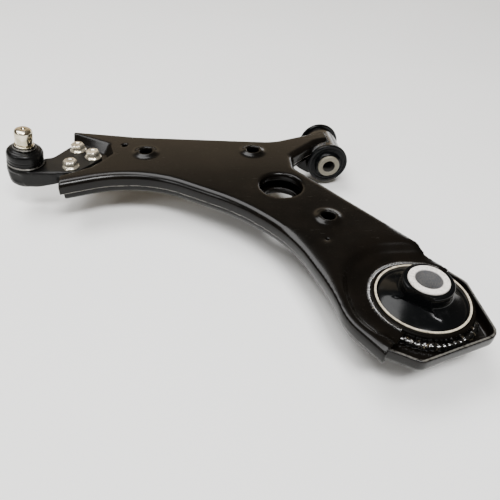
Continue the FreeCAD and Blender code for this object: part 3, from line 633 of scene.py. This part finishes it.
def weld_tree():
    """A bead swept along a path: overlapping ripples, uneven height, slight wander."""
    tree, given, out = new_tree("weld_bead", [
        ("Bead Radius", "NodeSocketFloat", 3.0 * MM), ("Ripple Spacing", "NodeSocketFloat", 1.7 * MM),
        ("Ripple Height", "NodeSocketFloat", 0.32 * MM), ("Unevenness", "NodeSocketFloat", 0.8 * MM),
        ("Seed", "NodeSocketFloat", 1.0), ("Finish", "NodeSocketMaterial", None)])
    path = node_in(tree, "GeometryNodeMeshToCurve", None, Mesh=given.outputs["Geometry"])
    even = node_in(tree, "GeometryNodeResampleCurve", {"mode": "LENGTH"}, Curve=path.outputs[0],
                   Length=WELD_STEP)
    along = node_in(tree, "GeometryNodeSplineParameter")
    stored = node_in(tree, "GeometryNodeStoreNamedAttribute", {"data_type": "FLOAT", "domain": "POINT"},
                     Geometry=even.outputs[0], Name="along", _3=along.outputs["Length"])
    ring = node_in(tree, "GeometryNodeCurvePrimitiveCircle", None, Resolution=WELD_SECTION,
                   Radius=given.outputs["Bead Radius"])
    sweep = node_in(tree, "GeometryNodeCurveToMesh", None, Curve=stored.outputs[0],
                    _1=ring.outputs[0])
    sweep.inputs["Fill Caps"].default_value = True
    where = node_in(tree, "GeometryNodeInputPosition")
    facing = node_in(tree, "GeometryNodeInputNormal")
    length = node_in(tree, "GeometryNodeInputNamedAttribute", {"data_type": "FLOAT"}, Name="along")
    # the ripple's crescent: its phase lags where the surface turns away from upright
    up = node_in(tree, "ShaderNodeSeparateXYZ", None, _0=facing.outputs[0])
    lag = node_in(tree, "ShaderNodeMath", {"operation": "MULTIPLY"}, _0=up.outputs[2], _1=1.6)
    turns = node_in(tree, "ShaderNodeMath", {"operation": "DIVIDE"}, _0=length.outputs[0],
                    _1=given.outputs["Ripple Spacing"])
    angle = node_in(tree, "ShaderNodeMath", {"operation": "MULTIPLY"}, _0=turns.outputs[0], _1=math.tau)
    jitter = node_in(tree, "ShaderNodeTexNoise", {"noise_dimensions": "4D"}, Vector=where.outputs[0],
                     W=given.outputs["Seed"], Scale=120.0, Detail=2.0)
    sway = node_in(tree, "ShaderNodeMath", {"operation": "MULTIPLY"}, _0=jitter.outputs[0], _1=7.0)
    phase = node_in(tree, "ShaderNodeMath", {"operation": "ADD"}, _0=angle.outputs[0], _1=lag.outputs[0])
    phase = node_in(tree, "ShaderNodeMath", {"operation": "ADD"}, _0=phase.outputs[0], _1=sway.outputs[0])
    wave = node_in(tree, "ShaderNodeMath", {"operation": "SINE"}, _0=phase.outputs[0])
    crest = node_in(tree, "ShaderNodeMath", {"operation": "MULTIPLY"}, _0=wave.outputs[0],
                    _1=given.outputs["Ripple Height"])
    swell = node_in(tree, "ShaderNodeTexNoise", {"noise_dimensions": "4D"}, Vector=where.outputs[0],
                    W=given.outputs["Seed"], Scale=95.0, Detail=2.0)
    centred = node_in(tree, "ShaderNodeMath", {"operation": "SUBTRACT"}, _0=swell.outputs[0], _1=0.55)
    lumps = node_in(tree, "ShaderNodeMath", {"operation": "MULTIPLY"}, _0=centred.outputs[0],
                    _1=given.outputs["Unevenness"])
    rise = node_in(tree, "ShaderNodeMath", {"operation": "ADD"}, _0=crest.outputs[0], _1=lumps.outputs[0])
    push = node_in(tree, "ShaderNodeVectorMath", {"operation": "SCALE"}, _0=facing.outputs[0],
                   Scale=rise.outputs[0])
    moved = node_in(tree, "GeometryNodeSetPosition", None, Geometry=sweep.outputs[0],
                    Offset=push.outputs[0])
    smooth = node_in(tree, "GeometryNodeSetShadeSmooth", None, Geometry=moved.outputs[0])
    plain = node_in(tree, "GeometryNodeRealizeInstances", None, Geometry=smooth.outputs[0])
    coated = node_in(tree, "GeometryNodeSetMaterial", None, Geometry=plain.outputs[0],
                     Material=given.outputs["Finish"])
    tree.links.new(coated.outputs[0], out.inputs[0])
    return tree


def seating_tree():
    """Sets one fastener on every point, each turned by chance from a fixed seed."""
    tree, given, out = new_tree("seated_fasteners", [
        ("Fastener", "NodeSocketObject", None), ("Seed", "NodeSocketInt", 4),
        ("Finish", "NodeSocketMaterial", None)])
    made = node_in(tree, "GeometryNodeObjectInfo", None, Object=given.outputs["Fastener"])
    chance = node_in(tree, "FunctionNodeRandomValue", {"data_type": "FLOAT"}, Seed=given.outputs["Seed"])
    chance.inputs[3].default_value = math.radians(60.0)
    turn = node_in(tree, "ShaderNodeCombineXYZ", None, _2=chance.outputs[1])
    placed = node_in(tree, "GeometryNodeInstanceOnPoints", None, Points=given.outputs["Geometry"],
                     Instance=made.outputs["Geometry"], Rotation=turn.outputs[0])
    plain = node_in(tree, "GeometryNodeRealizeInstances", None, Geometry=placed.outputs[0])
    coated = node_in(tree, "GeometryNodeSetMaterial", None, Geometry=plain.outputs[0],
                     Material=given.outputs["Finish"])
    tree.links.new(coated.outputs[0], out.inputs[0])
    return tree


WELD_TREE = weld_tree()
SEATING = seating_tree()


def path_piece(name, runs, closed=False):
    """Loose edges along one or more runs of points."""
    vertices = []
    edges = []
    for run in runs:
        first = len(vertices)
        vertices += [tuple(p) for p in run]
        edges += [(first + i, first + i + 1) for i in range(len(run) - 1)]
        if closed:
            edges.append((len(vertices) - 1, first))
    mesh = bpy.data.meshes.new(name)
    mesh.from_pydata(vertices, edges, [])
    return add_object(name, mesh)


def straight_run(start, end, steps):
    """Evenly spaced points on a line."""
    return [tuple(a + (b - a) * k / steps for a, b in zip(start, end)) for k in range(steps + 1)]


def arc_run(centre, radius, z, start, sweep, steps=90):
    """Points on a level arc; start and sweep are in degrees."""
    run = []
    for k in range(steps + 1):
        a = math.radians(start + sweep * k / steps)
        run.append((centre.x + radius * math.cos(a), centre.y + radius * math.sin(a), z))
    return run


def weld(name, runs, radius, seed, closed=False, height=0.30, uneven=0.9, spacing=1.8):
    """A bead along each run of points; radius, ripple height, unevenness and spacing in millimetres."""
    bead = grown(path_piece(name, runs, closed), WELD_TREE, {
        "Bead Radius": radius * MM, "Ripple Height": height * MM, "Unevenness": uneven * MM,
        "Ripple Spacing": spacing * MM, "Seed": seed, "Finish": WELD})
    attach(bead, "arm")
    return bead


# ---------------------------------------------------------------- pressed shells and forged housing

SHEET_GRID = 1.25 * MM
SHEET_ROUNDS = 5
FORGED_GRID = 0.7 * MM
FORGED_ROUNDS = 14
STEP_ROUNDS = 220
NECK_ROUNDS = 40

softened("upper_shell_pressing", "upper_shell", SHEET_GRID, SHEET_ROUNDS, UPPER_PAINT,
         rear_valley, STEP_ROUNDS)
softened("lower_shell_pressing", "lower_shell", SHEET_GRID, SHEET_ROUNDS, LOWER_PAINT)
softened("ball_joint_forging", "ball_joint_housing", FORGED_GRID, FORGED_ROUNDS, FORGED,
         neck_edge, NECK_ROUNDS)


# ---------------------------------------------------------------- welds

PLATEAU_Z = 13.0 * MM       # flat round the rear ring
PAN_Z = 3.0 * MM            # floor of the pan beside it
TOE = 0.9 * MM              # the round beads' centre lines stand off the ring by this much
bead_r = RING_R + TOE
plateau_run = arc_run(REAR, bead_r, PLATEAU_Z - 1.3 * MM, 50.0, 178.0)
plateau_bead = weld("weld_on_plateau", [plateau_run], radius=2.6, seed=3.0, uneven=0.7)
pan_run = arc_run(REAR, RING_R + 2.2 * MM, PAN_Z + 2.2 * MM, 226.0, 100.0)
weld("weld_on_pan", [pan_run], radius=3.7, seed=8.0, height=0.28, uneven=1.7, spacing=5.0)
under_run = arc_run(REAR, bead_r, -0.4 * MM, 0.0, 356.0, 180)
weld("weld_underneath", [under_run], radius=3.2, seed=5.0, closed=True)
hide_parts("rear_ring_welds")

tube_low, tube_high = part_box("front_eye_tube")
TUBE_R = (tube_high.z - tube_low.z) / 2.0
TIP_BEAD_HALF = 13.0 * MM   # half the length of the bead on the shell's tip
tip_seat = max(seats("eye_tube_welds"), key=lambda seat: seat[0].y)[0]
tip_x = tip_seat.x - 0.6 * MM
tip_z = TUBE_R - 1.4 * MM
tip_start = (tip_x, tip_seat.y - TIP_BEAD_HALF, tip_z)
tip_end = (tip_x, tip_seat.y + TIP_BEAD_HALF, tip_z)
tip_run = straight_run(tip_start, tip_end, 12)
tip_bead = weld("weld_on_eye_tip", [tip_run], radius=2.0, seed=11.0)
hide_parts("eye_tube_welds")

SIDE_FROM = 100.0           # degrees round the tube from +X
SIDE_SWEEP = 74.0
SIDE_STEPS = 24
side_r = TUBE_R + 0.8 * MM
side_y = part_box("eye_tube_welds")[0].y + 2.6 * MM
side_run = []
for k in range(SIDE_STEPS + 1):
    a = math.radians(SIDE_FROM + SIDE_SWEEP * k / SIDE_STEPS)
    side_run.append((side_r * math.cos(a), side_y, side_r * math.sin(a)))
weld("weld_on_eye_side", [side_run], radius=3.0, seed=13.0, uneven=1.6, height=0.4)

STITCH_HALF = 13.0 * MM
seam_runs = []
for centre, low, high in seats("shell_seam_welds"):
    z = high - 1.0 * MM
    start = (centre.x - STITCH_HALF, centre.y, z)
    end = (centre.x + STITCH_HALF, centre.y, z)
    seam_runs.append(straight_run(start, end, 10))
seam_beads = weld("weld_stitches", seam_runs, radius=1.7, seed=17.0, height=0.2, uneven=0.5)
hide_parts("shell_seam_welds")


# ---------------------------------------------------------------- fasteners

def hex_radius(flat, angle):
    """Distance from the middle of a hexagon to its side, in the direction of the angle."""
    sector = (angle + math.pi / 6.0) % (math.pi / 3.0) - math.pi / 6.0
    return flat / 2.0 / math.cos(sector)


SIDE = 100.0                # a profile radius of SIDE + d means d inside the hexagon's side


def hexed(flat):
    """Squeeze for a lathe profile: radii from SIDE up follow a hexagon of this width across its flats."""
    def squeeze(radius, height, angle):
        if radius < SIDE:
            return radius
        return hex_radius(flat, angle) - (radius - SIDE)
    return squeeze


WRENCH = 13.0               # across the flats of bolt and nut
HEAD_TOP = 8.0              # above the flange's underside
BOLT_END = -19.0
PLAIN_END = -8.0            # the thread runs from here almost to the end
THREAD_LAST = -18.0
PITCH = 1.25


def hex_bolt():
    """Flange bolt: dished hexagon head with a chamfered crown, coned flange, rolled thread."""
    top = HEAD_TOP
    profile = [(0.01, top - 0.55), (2.2, top - 0.55), (2.6, top - 0.5), (3.1, top - 0.12), (3.5, top - 0.02),
               (5.6, top), (5.9, top - 0.05), (SIDE + 0.75, top - 0.42), (SIDE + 0.18, top - 0.85),
               (SIDE, top - 1.35), (SIDE, 3.0), (SIDE + 0.05, 2.6), (7.75, 2.15), (8.2, 1.75), (8.7, 1.15),
               (8.88, 0.85), (8.9, 0.4), (8.75, 0.05), (4.2, 0.0), (4.0, -0.3)]
    height = PLAIN_END
    profile.append((4.0, height))
    while height > THREAD_LAST:
        profile += [(3.98, height - 0.18), (3.42, height - 0.52), (3.42, height - 0.72),
                    (3.98, height - 1.07)]
        height -= PITCH
    profile += [(3.6, -18.7), (3.2, BOLT_END), (0.01, BOLT_END)]
    return lathe("bolt_pattern", profile, BOLT_ZINC, 72, hexed(WRENCH))


def hex_nut():
    """Flange nut, turned towards -Z; its bore clears the thread."""
    profile = [(4.02, -7.1), (4.5, -7.5), (5.6, -7.5), (6.0, -7.4), (SIDE + 0.3, -7.0), (SIDE, -6.5),
               (SIDE, -2.6), (7.8, -2.1), (8.4, -1.6), (8.85, -1.0), (8.9, -0.4), (8.75, 0.0), (4.5, 0.0),
               (4.02, -0.5)]
    return lathe("nut_pattern", profile, BOLT_ZINC, 72, hexed(WRENCH))


def seated(name, pattern, places, seed, node):
    """One fastener on each place, turned by chance."""
    points = path_piece(name, [[place] for place in places])
    piece = grown(points, SEATING, {"Fastener": pattern, "Seed": seed, "Finish": BOLT_ZINC})
    bpy.data.objects.remove(pattern)
    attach(piece, "arm")
    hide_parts(node)
    return piece


BOLT_SEED = 6
NUT_SEED = 9
bolt_seats = [(c.x, c.y, low - BOLT_END * MM) for c, low, high in seats("flange_bolts")]
nut_seats = [(c.x, c.y, high) for c, low, high in seats("flange_nuts")]
seated("bolts", hex_bolt(), bolt_seats, BOLT_SEED, "flange_bolts")
seated("nuts", hex_nut(), nut_seats, NUT_SEED, "flange_nuts")


# ---------------------------------------------------------------- ball joint

tilt = joints["ball_tilt"]
spin = joints["ball_spin"]
BALL = Vector(tilt["pos_m"])
LEAN = Vector(spin["axis"]).normalized()
BALL_R = 12.0
BALL_HEIGHT = -10.5         # the ball's centre, along the leaning axis from the boot's foot
STUD_R = 8.9
FOOT = BALL - LEAN * BALL_HEIGHT * MM


def on_lean(piece):
    """Puts a piece made about Z on the stud's leaning axis, its zero at the boot's foot."""
    return stand(piece, LEAN, FOOT)


def dust_boot():
    """Boot with two rings at its foot, a full side and a gathered neck."""
    loop = [(16.55, -1.6), (18.2, -1.6), (18.3, -1.3), (18.3, -0.95), (17.2, -0.6), (16.95, 0.0), (17.2, 0.6),
            (18.3, 0.95), (18.3, 1.6), (17.8, 2.1), (17.75, 2.5), (18.2, 3.1), (18.4, 4.4), (18.4, 5.4),
            (18.15, 5.9), (18.15, 6.4), (18.4, 6.9), (18.4, 10.2), (18.2, 11.8), (17.7, 13.0), (16.9, 14.1),
            (15.9, 14.9), (15.3, 15.0), (14.8, 15.1), (14.0, 15.9), (12.9, 16.35), (11.9, 16.5), (10.9, 16.8),
            (10.1, 17.2), (9.9, 17.9), (10.1, 18.6), (10.9, 18.9), (11.1, 19.1), (10.8, 19.4), (8.9, 19.4),
            (8.55, 19.0), (8.55, 16.6), (10.4, 15.2), (13.8, 14.0), (15.6, 12.6), (16.4, 11.2), (16.7, 9.4),
            (16.7, 4.6), (16.3, 2.6), (16.55, 1.9)]
    boot = on_lean(lathe("dust_boot_rubber", flowing(loop, 1), BOOT_RUBBER, 128))
    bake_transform(boot)
    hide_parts("dust_boot")
    return boot


def wire_clip(name, ring_r, height, wire_r, turns, body, node):
    """Spring wire clip: a coil of a little over whole turns with free ends."""
    per_turn = 96
    steps = int(per_turn * turns)
    sides = 10
    pitch = wire_r * 2.0 + 0.02
    vertices = []
    for k in range(steps + 1):
        a = math.tau * k / per_turn
        rise = height + pitch * (a / math.tau - turns / 2.0)
        for s in range(sides):
            b = math.tau * s / sides
            r = ring_r + wire_r * math.cos(b)
            vertices.append((r * MM * math.cos(a), r * MM * math.sin(a), (rise + wire_r * math.sin(b)) * MM))
    faces = [tuple(reversed(range(sides))), tuple(steps * sides + s for s in range(sides))]
    for k in range(steps):
        for s in range(sides):
            t = (s + 1) % sides
            faces.append((k * sides + s, (k + 1) * sides + s, (k + 1) * sides + t, k * sides + t))
    clip = on_lean(close_and_smooth(new_piece(name, vertices, faces, WIRE)))
    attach(clip, body)
    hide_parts(node)
    return clip


def ball_stud():
    """Ball, tapered neck, collar, groove and plain pin with a rounded, centred end."""
    tip = 37.6
    ball = [(BALL_R * math.cos(math.radians(a)), BALL_HEIGHT + BALL_R * math.sin(math.radians(a)))
            for a in range(-52, 61, 6)]
    profile = [(0.01, ball[0][1])] + ball
    profile += [(6.0, 0.6), (6.0, 3.0), (8.35, 12.0), (8.4, 12.6), (8.4, 19.55), (9.4, 19.6), (9.8, 19.8),
                (9.9, 20.1), (9.9, 20.9), (9.75, 21.2), (9.3, 21.45), (8.2, 21.5), (7.95, 21.6), (7.9, 21.8),
                (7.95, 22.0), (8.5, 22.2), (8.8, 22.45), (STUD_R, 22.9), (STUD_R, 34.1), (8.8, 34.8),
                (8.5, 35.7), (7.95, 36.5), (7.2, 37.1), (6.4, 37.4), (4.5, 37.5), (2.4, tip), (1.9, 37.5),
                (1.5, 37.0), (0.01, 36.0)]
    stud = on_lean(lathe("ball_stud_pin", profile, STUD_ZINC, 96))
    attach(stud, "stud")
    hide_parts("ball_stud")
    return stud


dust_boot()
CLIP_TURNS = 1.9
LOWER_CLIP_R = 18.21        # middle of the wire, from the stud's axis
UPPER_CLIP_R = 11.2
UPPER_CLIP_HEIGHT = 17.9    # above the boot's foot
wire_clip("boot_lower_clip", LOWER_CLIP_R, 0.0, 0.42, CLIP_TURNS, "arm", "boot_lower_ring")
wire_clip("boot_upper_clip", UPPER_CLIP_R, UPPER_CLIP_HEIGHT, 0.4, CLIP_TURNS, "boot_ring", "boot_upper_ring")
ball_stud()


# ---------------------------------------------------------------- front bush

def front_rubber():
    """Rubber with a ribbed flange at each end; one half is turned, then mirrored."""
    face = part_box("front_bush_rubber")[1].y / MM
    back = tube_high.y / MM + 0.1
    front = face - 3.8
    half = [(16.5, 0.0), (16.5, back), (23.0, back), (23.9, back + 0.3), (24.3, back + 1.1),
            (24.3, front - 1.5), (24.15, front - 0.7), (23.5, front - 0.1), (22.8, front), (21.6, front),
            (21.0, front - 0.15), (20.6, front - 0.75), (20.0, front - 0.95), (19.4, front - 0.75),
            (19.0, front - 0.1), (18.6, front), (18.0, front), (17.6, front - 0.2), (17.2, front - 0.8),
            (16.7, front - 0.95), (16.2, front - 0.8), (15.8, front), (15.3, front + 1.1),
            (14.9, front + 2.3), (14.4, front + 3.1), (13.7, front + 3.6), (12.95, face), (12.95, 0.0)]
    profile = half[:-1] + [(r, -h) for r, h in reversed(half[1:-1])]
    rubber_piece = stand(lathe("front_bush_rubber_body", profile, BUSH_RUBBER, 112), (0, 1, 0), (0, 0, 0))
    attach(rubber_piece, "arm")
    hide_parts("front_bush_rubber")


front_rubber()


# ---------------------------------------------------------------- rear bush

FLAT_TURN = math.radians(49.0)      # direction square to the block's flats, from +X
FLAT_HALF = 18.3                    # middle to flat
BLOCK_R = 21.5                      # the block's rounded ends
BORE_R = 17.05                      # round the core
CORE_SIDE = 17.1                    # no squeeze goes further in than this
DOME_R = 38.4                       # inside the sleeve


def flatted(start, span, side):
    """Squeeze for a rear rubber profile: two flats that come in over a span of height.
    side is 1 above the middle and -1 below it."""
    def squeeze(radius, height, angle):
        share = min(max((side * height - start) / span, 0.0), 1.0) if radius > 17.5 else 0.0
        limit = FLAT_HALF / max(abs(math.cos(angle - FLAT_TURN)), 0.01)
        cut = radius + (min(radius, limit) - radius) * share
        return max(cut, min(radius, CORE_SIDE))
    return squeeze


def on_rear_bush(piece):
    return stand(piece, (0, 0, 1), (REAR.x, REAR.y, 0))


def rear_rubber():
    """Dome bonded into the sleeve, rising to a block with two flats round the core, and a like base below."""
    top = 33.6
    dome = [(DOME_R, -1.0), (DOME_R, 11.0), (38.1, 11.9), (37.3, 12.6), (36.0, 13.3), (34.0, 14.3),
            (32.0, 15.4), (30.0, 16.5), (28.2, 17.6), (26.4, 18.8), (24.8, 19.9), (23.3, 21.0), (22.3, 21.9),
            (21.7, 22.9), (BLOCK_R, 24.0), (BLOCK_R, 26.0), (BLOCK_R, 28.5), (BLOCK_R, 31.0), (21.45, 32.4),
            (21.2, 33.0), (20.7, 33.45), (20.0, top), (18.6, top), (17.2, top - 0.05), (BORE_R, top - 0.4),
            (BORE_R, -1.0)]
    upper = on_rear_bush(lathe("rear_bush_rubber_dome", dome, BUSH_RUBBER, 144, flatted(15.0, 4.0, 1)))
    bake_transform(upper)
    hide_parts("rear_bush_rubber")

    base = [(BORE_R, -1.0), (BORE_R, -26.8), (17.4, -27.0), (20.4, -27.0), (21.2, -26.6), (BLOCK_R, -25.8),
            (BLOCK_R, -18.4), (22.2, -17.2), (23.8, -16.3), (26.0, -15.4), (29.0, -14.6), (33.0, -13.4),
            (36.6, -12.4), (38.0, -11.8), (DOME_R, -11.0), (DOME_R, -1.0)]
    lower = on_rear_bush(lathe("rear_bush_rubber_base", base, BUSH_RUBBER, 144, flatted(14.0, 3.0, -1)))
    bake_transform(lower)


rear_rubber()


# ---------------------------------------------------------------- floor, light and camera

FLOOR_SIZE = 8.0
FLOOR_PALE = hue(246, 246, 245)
FLOOR_SHADE = hue(240, 240, 238)
ROOM_TINT = (1.0, 0.88, 0.72)
ROOM_LIGHT = 0.11
WHITE = (1.0, 1.0, 1.0)
WARM = (1.0, 0.80, 0.55)

# name, place, point it faces, width and height, watts, tint
SOFTBOXES = [
    ("window", (0.12, -1.15, 1.9), (0.0, -0.28, 0.0), (0.8, 0.5), 52.0, WHITE),
    ("pane", (-0.75, -1.1, 1.9), (0.0, -0.28, 0.0), (0.7, 0.5), 14.0, WHITE),
    ("sky", (-0.9, 0.6, 2.2), (-0.1, -0.15, 0.0), (1.8, 1.4), 72.0, WHITE),
    ("side", (-1.5, -1.0, 1.0), (-0.2, -0.15, 0.0), (0.5, 0.5), 8.0, WHITE),
    ("backdrop", (-0.3, 3.0, 1.25), (-0.1, 0.0, 0.0), (4.5, 1.1), 14.0, WARM),
    ("horizon", (1.0, 1.7, 0.3), (0.0, 0.0, 0.02), (1.0, 0.3), 4.0, WHITE),
]

EYE = (-0.167, -0.548, 0.307)
FORWARD = (0.115, 0.758, -0.642)
RIGHTWARD = (0.993, -0.109, 0.049)
SENSOR = 36.0
LENS = 36.2


def studio():
    """Pale floor under the part and a faint warm room round it."""
    floor_z = cad_bounds[0][2]
    bpy.ops.mesh.primitive_plane_add(size=FLOOR_SIZE, location=(0.0, 0.0, floor_z))
    floor = bpy.context.object
    floor.name = "floor"
    f = Finish("pale_floor")
    tone = f.noise(3.0, 2.0)
    f.set(Base_Color=f.mix(tone, FLOOR_SHADE, FLOOR_PALE), Roughness=0.85)
    floor.data.materials.append(f.material)
    world = bpy.data.worlds.new("studio")
    bpy.context.scene.world = world
    world.use_nodes = True
    room = world.node_tree.nodes["Background"]
    room.inputs["Color"].default_value = (*ROOM_TINT, 1.0)
    room.inputs["Strength"].default_value = ROOM_LIGHT


def softbox(name, place, aim, size, power, tint):
    light = bpy.data.lights.new(name, "AREA")
    light.shape = "RECTANGLE"
    light.size, light.size_y = size
    light.energy = power
    light.color = tint
    lamp = add_object(name, light)
    lamp.location = place
    lamp.rotation_euler = (Vector(aim) - Vector(place)).to_track_quat("-Z", "Y").to_euler()


def camera():
    lens = bpy.data.cameras.new("camera")
    lens.sensor_width = SENSOR
    lens.lens = LENS
    lens.clip_start = 0.01
    eye = add_object("camera", lens)
    forward = Vector(FORWARD).normalized()
    right = Vector(RIGHTWARD)
    right = (right - forward * right.dot(forward)).normalized()
    up = right.cross(forward)
    turn = Matrix((right, up, -forward)).transposed()
    eye.matrix_world = Matrix.Translation(EYE) @ turn.to_4x4()
    bpy.context.scene.camera = eye


studio()
for box in SOFTBOXES:
    softbox(*box)
camera()
